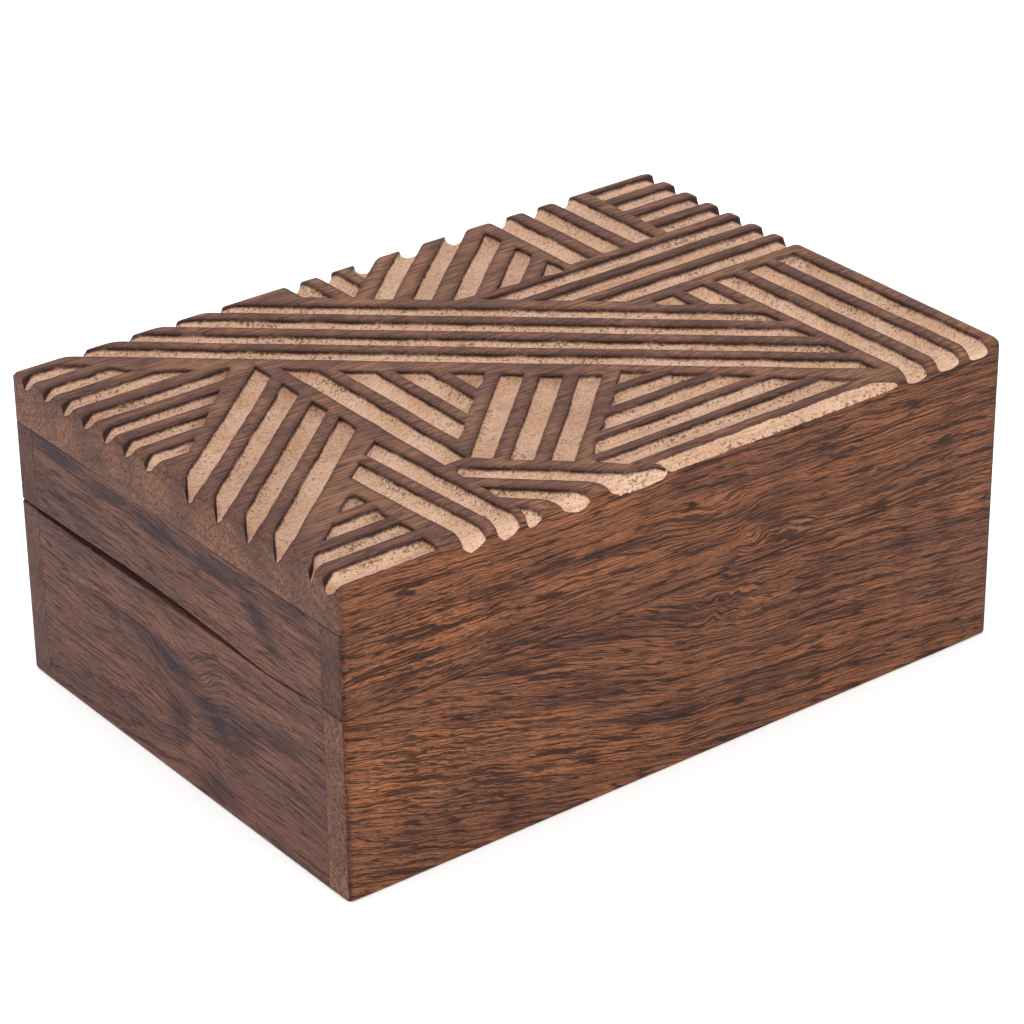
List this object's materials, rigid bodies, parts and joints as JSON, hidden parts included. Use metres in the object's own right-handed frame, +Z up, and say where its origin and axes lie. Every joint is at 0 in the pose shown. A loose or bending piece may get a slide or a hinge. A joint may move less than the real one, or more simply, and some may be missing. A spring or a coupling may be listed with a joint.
{
  "type": "jewelry box",
  "caption": "Rectangular hardwood jewelry box: plain board case with a hinged lid, its thick top carved with zones of parallel round-bottomed grooves.",
  "frame": {"origin": "centre of the underside of the case", "axes": "+X along the long front, to the right when seen from the front; the front faces -Y and the hinges are on the +Y side; +Z up"},
  "size_m": [0.203, 0.1441, 0.085],
  "materials": {
    "long_board_wood": "dark brown stained hardwood, satin, long grain",
    "short_board_wood": "dark brown stained hardwood, satin, cooler and patchier",
    "carved_wood": "dark stained ridges over raw pale grooves, matte",
    "bottom_wood": "plain brown hardwood, matte",
    "felt": "dark brown felt",
    "brass": "aged brass"
  },
  "bodies": {
    "case": {"case_front_board": "long_board_wood", "case_rear_board": "long_board_wood", "case_left_board": "short_board_wood", "case_right_board": "short_board_wood", "case_bottom_panel": "bottom_wood", "case_felt_liner": "felt", "left_hinge_pin": "brass", "left_hinge_case_leaf": "brass", "left_hinge_case_screw_1": "brass", "left_hinge_case_screw_2": "brass", "right_hinge_pin": "brass", "right_hinge_case_leaf": "brass", "right_hinge_case_screw_1": "brass", "right_hinge_case_screw_2": "brass"},
    "lid": {"lid_front_board": "long_board_wood", "lid_rear_board": "long_board_wood", "lid_left_board": "short_board_wood", "lid_right_board": "short_board_wood", "lid_carved_top": "carved_wood", "left_hinge_lid_leaf": "brass", "left_hinge_lid_screw_1": "brass", "left_hinge_lid_screw_2": "brass", "right_hinge_lid_leaf": "brass", "right_hinge_lid_screw_1": "brass", "right_hinge_lid_screw_2": "brass"}
  },
  "joints": [
    {"name": "lid_hinge", "type": "hinge", "parent": "case", "child": "lid", "pos_m": [0, 0.072, 0.049], "axis": [-1, 0, 0], "range_deg": [0, 100]}
  ]
}
